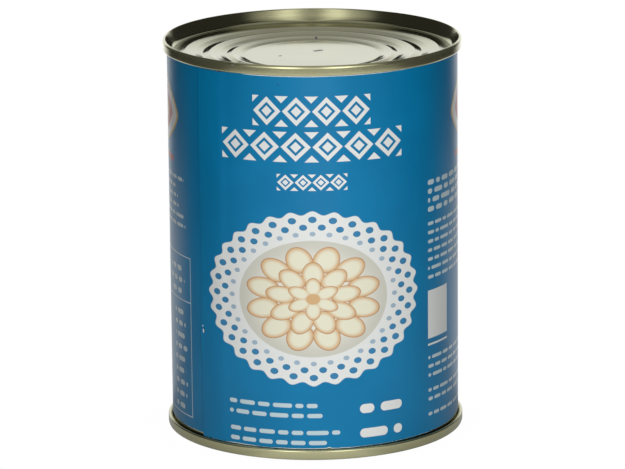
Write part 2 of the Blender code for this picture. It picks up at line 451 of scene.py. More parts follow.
class GroupKit:
    """A new shader node group: its graph, and what comes in at its inputs, in order."""

    def __init__(self, name: str, inputs: dict[str, Union[float, Triple]]) -> None:
        """Create the group with a vector input for each triple and a number input for each number."""
        tree = bpy.data.node_groups.new(name, "ShaderNodeTree")
        self.graph = Graph(tree)
        for key, start in inputs.items():
            kind = "NodeSocketVector" if isinstance(start, tuple) else "NodeSocketFloat"
            tree.interface.new_socket(key, in_out="INPUT", socket_type=kind).default_value = start
        entry = self.graph.node("NodeGroupInput")
        self.inputs = [Value(self.graph, entry.outputs[key]) for key in inputs]

    def close(self, **outputs: Feed) -> Tree:
        """Send each value to a new number output of its name and return the group."""
        for key in outputs:
            self.graph.tree.interface.new_socket(key, in_out="OUTPUT", socket_type="NodeSocketFloat")
        self.graph.node("NodeGroupOutput", outputs)
        return self.graph.tree


def speckle_group() -> Tree:
    """Build the speckle group: small scattered spots, 1 where smooth noise passes a limit set by the amount."""
    kit = GroupKit("speckle", {"Place": ORIGIN, "Spots per mm": 1.0, "Amount": 0.3})
    g, (place, spots_per_mm, amount) = kit.graph, kit.inputs
    spots = g.noise(place, spots_per_mm, 3.0, 0.6)
    return kit.close(Mask=g.math("MULTIPLY", spots - (0.82 - amount * 0.35), 14.0, clamp=True))


def grain_group() -> Tree:
    """Build the grain group: fine lines or fibres, noise drawn out along one direction, and its height for a bump."""
    kit = GroupKit("grain", {"Place": ORIGIN, "Stretch": EVEN, "Grains per mm": 1.0})
    g, (place, stretch, grains_per_mm) = kit.graph, kit.inputs
    fine = g.noise(g.vector("MULTIPLY", place, stretch), grains_per_mm, 4.0, 0.65)
    return kit.close(Mask=g.step(0.35, 0.65, fine), Height=fine)


def mark_group() -> Tree:
    """Build the mark group: a short stroke, 1 within half its width of the run between its ends.

    The nearest point of the run from a to b is at the clamped share dot(p - a, b - a) / dot(b - a, b - a) of it.
    """
    kit = GroupKit("mark", {"Place": ORIGIN, "Start": ORIGIN, "End": (1.0, 0.0, 0.0), "Half width": 0.2})
    g, (place, start, end, half_width) = kit.graph, kit.inputs
    way, run = g.vector("SUBTRACT", place, start), g.vector("SUBTRACT", end, start)
    whole = g.most(g.vector("DOT_PRODUCT", run, run), 1e-6)
    share = g.math("DIVIDE", g.vector("DOT_PRODUCT", way, run), whole, clamp=True)
    away = g.vector("LENGTH", g.vector("SUBTRACT", way, g.vector("SCALE", run, scale=share)))
    return kit.close(Mask=g.step(-0.06, 0.06, half_width - away))


def wear_group() -> Tree:
    """Build the wear group: rubbed patches where a mesh value plus broken noise passes one."""
    kit = GroupKit("wear", {"Place": ORIGIN, "Reach": 0.0, "Patches per mm": 0.5, "Amount": 0.5})
    g, (place, reach, patches_per_mm, amount) = kit.graph, kit.inputs
    broken = g.noise(place, patches_per_mm, 5.0, 0.6)
    return kit.close(Mask=g.step(0.75, 1.05, reach + (broken - 0.5) * (amount * 3.0)))


def lozenge_group() -> Tree:
    """Build the lozenge frieze group: nested lozenges side by side, with small ones where their corners meet.

    With a across and b up one lozenge, each from -1 to 1, |a| + |b| is below 1 inside it and (1 - |a|) + (1 - |b|)
    is small at the corners between two of them.
    """
    kit = GroupKit("lozenge_frieze", {"Place": ORIGIN, "Middle": ORIGIN, "Width": 30.0, "Height": 8.0, "Count": 4.0})
    g, (place, middle, width, height, count) = kit.graph, kit.inputs
    across, up, _ = g.split(g.vector("SUBTRACT", place, middle))
    share = across / width
    a = abs(g.math("FRACT", (share + 0.5) * count) * 2.0 - 1.0)
    b = abs(up / (height * 0.5))
    both = a + b
    inside = g.math("LESS_THAN", abs(share), 0.5) * g.math("LESS_THAN", b, 1.0)
    band = g.below(0.93, 0.97, both) * g.step(0.57, 0.61, both)
    return kit.close(Mask=inside * g.most(band, g.below(0.34, 0.38, both), g.step(1.52, 1.56, both)))


def dash_group() -> Tree:
    """Build the dash rows group: rows of round-ended bars as long as words, with a gap at a random place in each cell.

    With h half a bar's height, v the height from the row's middle and e the way to the nearest gap or end, a point is
    inside a bar where the length of (max(h - e, 0), v) is below h. White noise of the cell and the row sets the gap's
    place, and white noise of the row sets where the row ends.
    """
    kit = GroupKit("dash_rows", {"Place": ORIGIN, "Left": 0.0, "Right": 10.0, "Top": 10.0, "Pitch": 2.5, "Rows": 4.0,
                                 "Thickness": 0.4, "Word": 5.0, "Ragged": 0.3, "Seed": 0.0})
    g, (place, left, right, top, pitch, rows, thickness, word, ragged, seed) = kit.graph, kit.inputs
    across, up, _ = g.split(place)
    down, cell = (top - up) / pitch, (across - left) / word
    row = g.math("FLOOR", down)
    gap = g.chance(g.math("FLOOR", cell), row, seed) * 0.5 + 0.25
    end = right - g.chance(row, seed, 7.0) * ragged * (right - left)
    half = pitch * (thickness * 0.5)
    to_gap = abs(g.math("FRACT", cell) - gap) * word - half * 0.75
    to_end = g.math("MINIMUM", across - left, end - across)
    short = g.most(half - g.math("MINIMUM", to_gap, to_end), 0.0)
    level = (g.math("FRACT", down) - 0.5) * pitch
    bar = g.step(-0.06, 0.06, half - g.length(short, level))
    return kit.close(Mask=bar * (g.math("GREATER_THAN", down, 0.0) * g.math("LESS_THAN", down, rows)))


def box_group() -> Tree:
    """Build the box group: a filled rectangle, and its outline of a given width."""
    kit = GroupKit("box", {"Place": ORIGIN, "Middle": ORIGIN, "Half width": 5.0, "Half height": 5.0, "Line": 0.32})
    g, (place, middle, half_width, half_height, line) = kit.graph, kit.inputs
    across, up, _ = g.split(g.vector("SUBTRACT", place, middle))
    beyond = g.most(abs(across) - half_width, abs(up) - half_height)
    fill = g.below(-0.05, 0.05, beyond)
    return kit.close(Fill=fill, Outline=fill * g.step(-0.05, 0.05, beyond + line))


def petal_group() -> Tree:
    """Build the petal ring group: ovals set round a middle in polar coordinates.

    With t the share of a turn within one petal's sector, the oval's value is 1 - (t * sector * ring / half width)^2 -
    ((r - ring) / half length)^2, which is above 0 inside it.
    """
    kit = GroupKit("petal_ring", {"Radius": 0.0, "Turn": 0.0, "Count": 8.0, "Phase": 0.0, "Ring": 0.5,
                                  "Half length": 0.1, "Half width": 0.1})
    g, (radius, turn, count, phase, ring, half_length, half_width) = kit.graph, kit.inputs
    share = g.math("FRACT", turn * count + phase) - 0.5
    arc = share * math.tau * radius / (count * half_width)
    out = (radius - ring) / half_length
    dome = 1.0 - (arc * arc + out * out)
    return kit.close(Mask=g.step(-0.05, 0.05, dome), Dome=dome)


@dataclass
class EffectKit:
    """The node groups that several finishes share, and those of the label's generic print."""

    speckle: Tree = field(default_factory=speckle_group)
    grain: Tree = field(default_factory=grain_group)
    wear: Tree = field(default_factory=wear_group)
    mark: Tree = field(default_factory=mark_group)
    lozenges: Tree = field(default_factory=lozenge_group)
    dashes: Tree = field(default_factory=dash_group)
    box: Tree = field(default_factory=box_group)
    petals: Tree = field(default_factory=petal_group)


# The finishes


class Finish:
    """A new material and the graph that dresses it."""

    def __init__(self, name: str) -> None:
        """Create the material."""
        self.material = bpy.data.materials.new(name)
        self.material.use_nodes = True
        self.graph = Graph(self.material.node_tree)

    def close(self, strength: float, depth: float, height: Feed, inputs: Inputs) -> Material:
        """Feed the Principled BSDF, with a bump of a strength and a depth in metres, and return the material."""
        g = self.graph
        bump = g.get("ShaderNodeBump", {"Strength": strength, "Distance": depth, "Height": height})
        g.feed(g.tree.nodes["Principled BSDF"], {"Normal": bump, **inputs})
        return self.material


def shaded(colour: Colour, share: float) -> Colour:
    """Return a share of a colour."""
    return colour[0] * share, colour[1] * share, colour[2] * share


@dataclass(frozen=True)
class Mark:
    """One short stroke: its ends in millimetres and half its width."""

    start: Triple
    end: Triple
    half_width: float

    def mask(self, g: Graph, effects: EffectKit, place: Feed) -> Value:
        """Return 1 on the stroke."""
        return g.group(effects.mark, {"Place": place, "Start": self.start, "End": self.end,
                                      "Half width": self.half_width})["Mask"]


@dataclass(frozen=True)
class TinplateFinish:
    """Tinplate under pale gold lacquer: faint rolling lines, rubbed edges with a painted highlight line, a few marks,
    dark specks.
    """

    gold: Colour = (0.37, 0.365, 0.215)
    burnished: Colour = (0.45, 0.44, 0.255)
    # Worn tin on the seam's crest and foot, paler so that it also paints the highlight line along them.
    rubbed: Colour = (0.64, 0.62, 0.48)
    dark: Colour = (0.16, 0.15, 0.08)
    scored: Colour = (0.01, 0.01, 0.008)
    glint: Colour = (0.9, 0.9, 0.85)
    roughness: float = 0.07
    satin_roughness: float = 0.14
    scored_roughness: float = 0.30
    scuffed_metal: float = 0.90
    coat: float = 0.30
    coat_roughness: float = 0.10
    dark_marks: tuple[Mark, ...] = (
        Mark((1.1, 4.7, 110.53), (2.5, 5.7, 110.53), 0.9), Mark((1.3, 21.3, 110.85), (1.2, 24.6, 111.0), 0.3),
        Mark((-9.4, -2.2, 110.53), (-9.2, -1.9, 110.53), 0.5), Mark((-20.9, -12.2, 111.0), (-20.8, -12.0, 111.0), 0.5))
    light_marks: tuple[Mark, ...] = (
        Mark((-34.6, 18.5, 112.05), (-34.5, 18.6, 112.05), 0.28),
        Mark((-22.9, -37.2, 115.2), (-22.4, -37.5, 115.2), 0.16))

    def material(self, effects: EffectKit) -> Material:
        """Build the material."""
        finish = Finish("gold_lacquered_tinplate")
        g = finish.graph
        place, round_place = g.place(), g.place("Turned")
        lines = g.group(effects.grain, {"Place": place, "Stretch": (4.0, 0.06, 1.0), "Grains per mm": 2.2})
        rings = g.group(effects.grain, {"Place": round_place, "Stretch": (0.02, 5.0, 1.0), "Grains per mm": 1.6})
        # The rubbed mask marks worn tin on the crest and curl's foot and also paints a highlight line there.
        wear = g.group(effects.wear, {"Place": round_place, "Reach": g.stored("rubbed"), "Patches per mm": 0.25,
                                      "Amount": 0.35})["Mask"]
        specks = g.group(effects.speckle, {"Place": place, "Spots per mm": 0.9, "Amount": 0.25})["Mask"]
        cloud, worked = g.noise(place, 0.06, 3.0), g.stored("worked")
        scored = g.most(*(mark.mask(g, effects, place) for mark in self.dark_marks))
        tone = g.mix(g.step(0.3, 0.7, cloud), self.gold, shaded(self.gold, 0.92))
        tone = g.mix(worked, tone, self.burnished)
        # Rubbed tone: worn tin plus a painted highlight line.
        tone = g.mix(wear * 0.7, tone, self.rubbed)
        tone = g.mix(specks * 0.6, tone, self.dark)
        tone = g.mix(scored, tone, self.scored)
        tone = g.mix(g.most(*(mark.mask(g, effects, place) for mark in self.light_marks)), tone, self.glint)
        plain, satin = self.roughness + cloud * 0.03, self.satin_roughness + rings["Mask"] * 0.05
        return finish.close(0.10, 0.0001, lines["Height"] * 0.15 + rings["Height"] * (worked * 1.2 + 0.1), {
            "Base Color": tone, "Roughness": plain + worked * (satin - plain) + scored * self.scored_roughness,
            "Metallic": g.stored("scuffed") * (self.scuffed_metal - 1.0) + 1.0, "Coat Weight": self.coat,
            "Coat Roughness": self.coat_roughness})


@dataclass(frozen=True)
class CompoundFinish:
    """The matt grey-green sealing compound."""

    grey: Colour = (0.16, 0.17, 0.15)
    roughness: float = 0.75

    def material(self, effects: EffectKit) -> Material:
        """Build the material."""
        finish = Finish("sealing_compound")
        g = finish.graph
        crumbs = g.group(effects.grain, {"Place": g.place(), "Stretch": EVEN, "Grains per mm": 6.0})
        tone = g.mix(crumbs["Mask"], self.grey, shaded(self.grey, 0.7))
        return finish.close(0.3, 0.0001, crumbs["Height"], {"Base Color": tone, "Roughness": self.roughness})


@dataclass(frozen=True)
class ChestnutFinish:
    """Moist cream flesh with faint fibres and tan knife marks."""

    cream: Colour = (0.79, 0.72, 0.55)
    tan: Colour = (0.52, 0.38, 0.22)
    roughness: float = 0.28
    glow: float = 0.2
    glow_reach: Triple = (0.004, 0.003, 0.0015)

    def material(self, effects: EffectKit) -> Material:
        """Build the material."""
        finish = Finish("chestnut_flesh")
        g = finish.graph
        place = g.place()
        fibres = g.group(effects.grain, {"Place": place, "Stretch": (1.6, 1.6, 0.25), "Grains per mm": 1.1})
        spots = g.group(effects.speckle, {"Place": place, "Spots per mm": 0.35, "Amount": 0.4})["Mask"]
        tone = g.mix(fibres["Mask"] * 0.35, self.cream, shaded(self.cream, 0.86))
        tone = g.mix(g.stored("scar") * 0.8, g.mix(spots * 0.5, tone, self.tan), self.tan)
        return finish.close(0.25, 0.0003, fibres["Height"], {
            "Base Color": tone, "Roughness": self.roughness + fibres["Mask"] * 0.15, "Subsurface Weight": self.glow,
            "Subsurface Radius": self.glow_reach, "Subsurface Scale": 1.0})


@dataclass(frozen=True)
class Frieze:
    """One row of lozenges on the front: its middle height, width, height and count."""

    middle: float
    width: float
    height: float
    count: float

    def mask(self, g: Graph, effects: EffectKit, place: Feed, across: float) -> Value:
        """Return 1 on the lozenges of a frieze whose middle is at an arc."""
        return g.group(effects.lozenges, {"Place": place, "Middle": (across, self.middle, 0.0), "Width": self.width,
                                          "Height": self.height, "Count": self.count})["Mask"]


@dataclass(frozen=True)
class DashRows:
    """One block of dash rows, in millimetres on its own panel. Its fields are the inputs of the dash rows group."""

    left: float
    right: float
    top: float
    pitch: float
    rows: float
    thickness: float
    word: float
    ragged: float
    seed: float

    def mask(self, g: Graph, effects: EffectKit, place: Feed) -> Value:
        """Return 1 on the bars."""
        inputs = {key.capitalize(): value for key, value in vars(self).items()}
        return g.group(effects.dashes, {"Place": place, **inputs})["Mask"]


@dataclass(frozen=True)
class Box:
    """A rectangle on a panel: its middle, half its width and half its height."""

    middle: Point
    half_width: float
    half_height: float

    def draw(self, g: Graph, effects: EffectKit, place: Feed) -> dict[str, Value]:
        """Return the rectangle's fill and its outline."""
        return g.group(effects.box, {"Place": place, "Middle": (*self.middle, 0.0), "Half width": self.half_width,
                                     "Half height": self.half_height})


@dataclass(frozen=True)
class PetalRing:
    """One ring of ovals in the medallion, in shares of its radius, and how strongly it shows."""

    count: float
    phase: float
    ring: float
    half_length: float
    half_width: float
    strength: float = 1.0

    def draw(self, g: Graph, effects: EffectKit, radius: Value, turn: Value) -> dict[str, Value]:
        """Return the ovals' mask and dome at a radius and a share of a turn."""
        return g.group(effects.petals, {"Radius": radius, "Turn": turn, "Count": self.count, "Phase": self.phase,
                                        "Ring": self.ring, "Half length": self.half_length,
                                        "Half width": self.half_width})


@dataclass(frozen=True)
class LabelPrint:
    """The generic print: friezes and a flower medallion on the front and back, dash rows and frames on the sides."""

    half_round: float = 133.14
    paper: Colour = (0.74, 0.76, 0.74)
    pale: Colour = (0.50, 0.62, 0.66)
    ivory: Colour = (0.74, 0.73, 0.64)
    cream: Colour = (0.76, 0.74, 0.58)
    peach: Colour = (0.62, 0.40, 0.20)
    russet: Colour = (0.34, 0.10, 0.035)
    red: Colour = (0.36, 0.035, 0.02)
    gold: Colour = (0.60, 0.43, 0.12)
    front_middle: float = -0.4
    friezes: tuple[Frieze, ...] = (
        Frieze(102.5, 34.4, 8.8, 4.0), Frieze(92.2, 54.8, 8.8, 6.0), Frieze(81.9, 20.3, 4.8, 4.0))
    medallion_height: float = 47.7
    medallion_half: Point = (33.6, 26.1)
    scallops: float = 32.0
    holes: tuple[PetalRing, ...] = (
        PetalRing(32.0, 0.5, 0.895, 0.036, 0.036, 0.95), PetalRing(32.0, 0.0, 0.81, 0.034, 0.034, 0.95),
        PetalRing(32.0, 0.5, 0.735, 0.026, 0.026, 0.55))
    petals: tuple[PetalRing, ...] = (
        PetalRing(12.0, 0.0, 0.455, 0.150, 0.118), PetalRing(9.0, 0.25, 0.285, 0.135, 0.098),
        PetalRing(6.0, 0.0, 0.135, 0.105, 0.072))
    emblem_middle: Point = (1.5, 96.2)
    emblem_half: Point = (16.0, 10.0)
    emblem_bar: Box = Box((1.5, 82.6), 11.0, 0.9)
    emblem_reach: float = 29.0
    small_rows: tuple[DashRows, ...] = (
        DashRows(-26.4, 3.6, 17.5, 3.0, 2.0, 0.42, 5.4, 0.12, 1.0),
        DashRows(-26.2, 8.7, 9.4, 3.0, 2.0, 0.42, 5.4, 0.18, 2.0))
    bold_rows: tuple[DashRows, ...] = (
        DashRows(13.0, 26.7, 16.4, 4.0, 1.0, 0.68, 14.2, 0.0, 4.0),
        DashRows(13.0, 26.7, 9.1, 4.0, 1.0, 0.68, 14.2, 0.0, 6.0))
    right_rows: tuple[DashRows, ...] = (
        DashRows(-28.9, 24.0, 79.2, 2.65, 4.0, 0.56, 5.2, 0.25, 5.0),
        DashRows(-28.9, 24.0, 67.0, 2.65, 7.0, 0.38, 4.6, 0.25, 6.0),
        DashRows(-28.9, 24.0, 27.0, 2.65, 3.0, 0.38, 4.6, 0.25, 7.0),
        DashRows(-28.9, 10.0, 17.2, 2.65, 2.0, 0.38, 4.6, 0.4, 8.0),
        DashRows(-28.9, 2.0, 10.0, 2.65, 1.0, 0.38, 4.6, 0.4, 9.0))
    left_rows: tuple[DashRows, ...] = (
        DashRows(-28.9, 23.9, 79.0, 2.75, 6.0, 0.38, 4.6, 0.18, 10.0),
        DashRows(8.0, 21.5, 52.5, 3.4, 3.0, 0.46, 4.6, 0.3, 11.0),
        DashRows(12.0, 21.5, 39.5, 3.55, 9.0, 0.42, 4.6, 0.2, 12.0))
    frames: tuple[Box, ...] = (Box((-0.1, 48.25), 23.9, 6.85), Box((-0.1, 24.35), 23.9, 17.35))
    panels: tuple[Box, ...] = (Box((-23.6, 38.6), 5.4, 7.2), Box((-23.6, 29.6), 5.4, 0.3))

    def medallion(self, g: Graph, effects: EffectKit, place: Feed, ground: Feed) -> Value:
        """Lay the medallion over the ground: a scalloped lace border, an ivory well and three rings of petals."""
        from_middle = g.vector("SUBTRACT", place, (self.front_middle, self.medallion_height, 0.0))
        x, z, _ = g.split(g.vector("DIVIDE", from_middle, (*self.medallion_half, 1.0)))
        radius, turn = g.length(x, z), g.math("ARCTAN2", z, x) / math.tau
        scallop = g.math("COSINE", turn * (math.tau * self.scallops)) * 0.022 + 0.968
        colour = g.mix(g.step(-0.006, 0.006, scallop - radius), ground, self.paper)
        for hole in self.holes:
            colour = g.mix(hole.draw(g, effects, radius, turn)["Mask"] * hole.strength, colour, ground)
        well = g.mix(g.step(0.35, 0.66, radius), self.ivory, shaded(self.ivory, 0.78))
        colour = g.mix(g.below(0.655, 0.665, radius), colour, well)
        for petal in self.petals:
            drawn = petal.draw(g, effects, radius, turn)
            soft = g.mix(g.step(0.05, 0.75, drawn["Dome"]), self.peach, self.cream)
            rim = g.mix(g.step(0.0, 0.18, drawn["Dome"], 0.75, 0.0), soft, self.russet)
            colour = g.mix(drawn["Mask"], colour, rim)
        return g.mix(g.below(0.055, 0.065, radius), colour, self.peach)

    def emblem(self, g: Graph, effects: EffectKit, place: Feed, ground: Feed) -> Value:
        """Lay a plain nested lozenge with a short bar under it over the ground."""
        from_middle = g.vector("SUBTRACT", place, (*self.emblem_middle, 0.0))
        x, z, _ = g.split(g.vector("DIVIDE", from_middle, (*self.emblem_half, 1.0)))
        size = g.math("POWER", abs(x), 1.5) + g.math("POWER", abs(z), 1.5)
        colour = ground
        for edge, tone in ((0.97, self.gold), (0.86, self.paper), (0.52, self.red), (0.20, self.gold)):
            colour = g.mix(g.below(edge, edge + 0.03, size), colour, tone)
        return g.mix(self.emblem_bar.draw(g, effects, place)["Fill"], colour, self.red)

    def over(self, g: Graph, effects: EffectKit, place: Feed, ink: Feed) -> Value:
        """Return the print's colour at an arc from the front's middle and a height, both in millimetres."""
        quarter = self.half_round / 2.0
        arc, up, _ = g.split(place)
        side_arc = g.math("WRAP", arc - quarter, quarter, -quarter)
        front, side = g.join(g.math("WRAP", arc, quarter, -quarter), up), g.join(side_arc, up)
        on_left = g.math("GREATER_THAN", arc, self.half_round)
        on_right = 1.0 - on_left
        colour = self.medallion(g, effects, front, ink)
        white = g.most(*(row.mask(g, effects, front, self.front_middle) for row in self.friezes),
                       *(rows.mask(g, effects, front) for rows in self.bold_rows))
        colour = g.mix(white, colour, self.paper)
        small = g.most(*(rows.mask(g, effects, front) for rows in self.small_rows))
        colour = g.mix(small, colour, self.pale)
        near_emblem = g.math("LESS_THAN", abs(side_arc), self.emblem_reach)
        colour = g.mix(near_emblem, colour, self.emblem(g, effects, side, colour))
        right = g.most(*(rows.mask(g, effects, side) for rows in self.right_rows))
        left = g.most(*(rows.mask(g, effects, side) for rows in self.left_rows),
                      *(frame.draw(g, effects, side)["Outline"] for frame in self.frames))
        colour = g.mix(right * on_right + left * on_left, colour, self.pale)
        boxes = g.most(*(panel.draw(g, effects, side)["Fill"] for panel in self.panels))
        return g.mix(boxes * on_right, colour, self.paper)


@dataclass(frozen=True)
class LabelFinish:
    """Coated paper: blue ground, generic print, white at cut and rubbed edges, a dark speck and a painted shadow."""

    blue: Colour = (0.0015, 0.180, 0.380)
    deep_blue: Colour = (0.0015, 0.165, 0.352)
    # Dark tone of one speck on the paper and of a painted shadow beside the torn fleck.
    dirt: Colour = (0.01, 0.03, 0.06)
    paper: Colour = (0.80, 0.82, 0.80)
    roughness: float = 0.29
    bare_roughness: float = 0.45
    specular_level: float = 0.27
    design: LabelPrint = LabelPrint()
    # The first mark is a dark speck; the second is a painted shadow beside the torn fleck at the lap's edge.
    dark_specks: tuple[Mark, ...] = (
        Mark((-9.9, 110.2, 0.0), (-9.7, 110.2, 0.0), 0.17), Mark((-35.98, 34.7, 0.0), (-36.06, 35.7, 0.0), 0.15))
    bare_specks: tuple[Mark, ...] = (
        Mark((-36.32, 34.5, 0.0), (-36.39, 35.2, 0.0), 0.24), Mark((-36.61, 36.2, 0.0), (-36.61, 36.4, 0.0), 0.16))

    def material(self, effects: EffectKit) -> Material:
        """Build the material."""
        finish = Finish("coated_label_paper")
        g = finish.graph
        place = g.place("Wrap")
        ink = g.mix(g.step(0.35, 0.65, g.noise(place, 0.05, 3.0)), self.blue, self.deep_blue)
        printed = self.design.over(g, effects, place, ink)
        # Lays the dark speck and the painted shadow beside the torn fleck.
        printed = g.mix(g.most(*(mark.mask(g, effects, place) for mark in self.dark_specks)) * 0.7, printed, self.dirt)
        printed = g.mix(g.most(*(mark.mask(g, effects, place) for mark in self.bare_specks)), printed, self.paper)
        fibres = g.group(effects.grain, {"Place": place, "Stretch": EVEN, "Grains per mm": 3.0})
        reach = 1.0 - g.stored("edge_distance") * 4.0 + g.stored("fray")
        bare = g.group(effects.wear, {"Place": place, "Reach": reach, "Patches per mm": 0.9, "Amount": 0.3})["Mask"]
        return finish.close(0.10, 0.0003, fibres["Height"] * 0.15 + g.noise(place, 0.08, 2.0), {
            "Base Color": g.mix(bare, printed, self.paper), "Specular IOR Level": self.specular_level,
            "Roughness": self.roughness + bare * self.bare_roughness + fibres["Mask"] * 0.04})


class FinishSet:
    """All the tin's finishes, made once."""

    def __init__(self) -> None:
        """Make each material."""
        effects = EffectKit()
        self.tinplate = TinplateFinish().material(effects)
        self.compound = CompoundFinish().material(effects)
        self.label = LabelFinish().material(effects)
        self.chestnut = ChestnutFinish().material(effects)


# The ends


@dataclass
class TinEnd:
    """One stamped end with its half of the double seam. Depths are of the outer face below the seam's crest."""

    finishes: FinishSet
    side: Side
    plate: float = 0.22
    seam_radius: float = 43.65
    seam_length: float = 3.05
    curl_radius: float = 0.45
    crest_bends: tuple[Point, ...] = ((42.81, 0.32), (42.95, 0.11), (43.06, 0.11), (43.40, 0.34))
    hook_tip: float = 2.05
    disc_edge: Point = (19.80, 5.37)
    inner_band: tuple[Point, Point] = ((21.40, 5.05), (23.40, 4.79))
    inner_groove: tuple[Point, Point] = ((25.00, 5.11), (25.30, 5.11))
    middle_band: tuple[Point, Point] = ((27.00, 4.74), (29.80, 4.33))
    outer_groove: tuple[Point, Point] = ((31.90, 4.75), (32.20, 4.75))
    outer_band: tuple[Point, Point] = ((34.20, 4.27), (37.10, 3.85))
    wall_foot: Point = (41.16, 3.85)
    panel_fillet: float = 2.2
    ledge_fillet: float = 0.6
    wall_foot_fillet: float = 1.7
    columns: int = 192

    def panel_corners(self) -> Array:
        """Return the corners of the panel's middle line, from the axis out to the chuck wall's foot."""
        faces = [(0.0, self.disc_edge[1]), self.disc_edge, *self.inner_band, *self.inner_groove, *self.middle_band,
                 *self.outer_groove, *self.outer_band, self.wall_foot]
        return np.array([(radius, -depth - self.plate / 2.0) for radius, depth in faces])

    def seam_corners(self) -> Array:
        """Return the corners of the seam's middle line, from the chuck wall over the crest to the hook's tip."""
        outside = self.seam_radius - self.plate / 2.0
        foot = -self.seam_length + self.plate / 2.0
        return np.array([
            *((radius, -depth) for radius, depth in self.crest_bends),
            (outside, -0.75),
            (outside, foot),
            (outside - 2.0 * self.curl_radius, foot),
            (outside - 2.0 * self.curl_radius, -self.hook_tip),
        ])

    def section(self) -> Array:
        """Return the plate's outline, from the axis along the outer face to the hook and back along the inner face."""
        panel, seam = self.panel_corners(), self.seam_corners()
        radii = np.r_[np.full(len(panel) - 3, self.panel_fillet), self.ledge_fillet, self.wall_foot_fillet,
                      np.full(len(seam) - 1, self.curl_radius)]
        return sheet_section(spread(filleted(np.vstack([panel, seam]), radii, 7), 1.4), self.plate)

    def rubbed(self, points: Array) -> Array:
        """Return 1 on the crest and the curl's foot (worn tin and a painted highlight), falling to 0 within about 0.5
        mm.
        """
        radius = np.hypot(points[:, 0], points[:, 1])
        crest = np.exp(-((radius - 43.03) / 0.22) ** 2) * smooth_step(-0.45, -0.05, points[:, 2])
        foot = smooth_step(-0.5, 0.0, -self.seam_length - points[:, 2] + 0.1) * smooth_step(42.9, 43.3, radius)
        return np.clip(crest + 0.2 * foot, 0.0, 1.0)

    def worked(self, points: Array) -> Array:
        """Return 1 where the chuck and the seaming rolls have made the plate satin, 0 on the panel."""
        return smooth_step(41.0, 41.6, np.hypot(points[:, 0], points[:, 1]))

    def scuffed(self, points: Array) -> Array:
        """Return 1 on the seam's outer face, which shelves and cartons have dulled, 0 inside the crest."""
        return smooth_step(43.1, 43.5, np.hypot(points[:, 0], points[:, 1]))

    def build(self) -> None:
        """Turn the section, carry it to its end of the tin and dress it."""
        surface = turned(self.section(), self.columns, closed=False)
        values = {key: getattr(self, key)(surface.points) for key in ("rubbed", "worked", "scuffed")}
        name = f"{self.side.value}_end"
        add_piece(f"{name}_stamped", name, carried(surface, self.side), self.finishes.tinplate, "Turned",
                  values)


@dataclass
class SealRing:
    """The ring of sealing compound that fills the top of one double seam."""

    finishes: FinishSet
    side: Side
    middle_radius: float = 43.12
    half_width: float = 0.09
    depths: tuple[float, float] = (0.40, 0.58)
    columns: int = 128

    def build(self) -> None:
        """Turn a flat oval round the axis: its half width times cos t, its half height times sin t."""
        t = np.arange(10) * (math.tau / 10)
        middle = -(self.depths[0] + self.depths[1]) / 2.0
        half_height = (self.depths[1] - self.depths[0]) / 2.0
        section = np.stack([self.middle_radius + self.half_width * np.cos(t), middle + half_height * np.sin(t)], 1)
        surface = carried(turned(section, self.columns, closed=True), self.side)
        name = self.side.value
        add_piece(f"{name}_seal_ring", f"{name}_compound", surface, self.finishes.compound, "Turned")


@dataclass
class TinBody:
    """The welded tube of the tin with a flange and hook at each end."""

    finishes: FinishSet
    plate: float = 0.18
    radius: float = 42.11
    hook_radius: float = 43.17
    hook_tip: float = 2.40
    flange_bends: tuple[Point, ...] = ((43.17, 1.18), (43.11, 0.86), (42.93, 0.80))
    flange_start: float = 2.58
    columns: int = 192

    def flange_corners(self) -> Array:
        """Return the plate's middle from the hook's tip over the flange to the straight wall, the crest at zero."""
        bends = ((self.hook_radius, self.hook_tip), *self.flange_bends, (self.radius, self.flange_start))
        return np.array([(radius, -depth) for radius, depth in bends])

    def build(self) -> None:
        """Turn the plate's section, top flange first, and dress it."""
        flange = self.flange_corners()
        corners = np.vstack([flange + (0.0, TIN_HEIGHT), flange[::-1] * (1.0, -1.0)])
        section = sheet_section(spread(filleted(corners, 0.3, 4), 4.0), self.plate)
        surface = turned(section, self.columns, closed=True)
        plain = np.zeros(len(surface.points))
        values = {"rubbed": plain, "worked": plain, "scuffed": plain}
        add_piece("can_body_drawn", "can_body", surface, self.finishes.tinplate, "Turned", values)


# The label


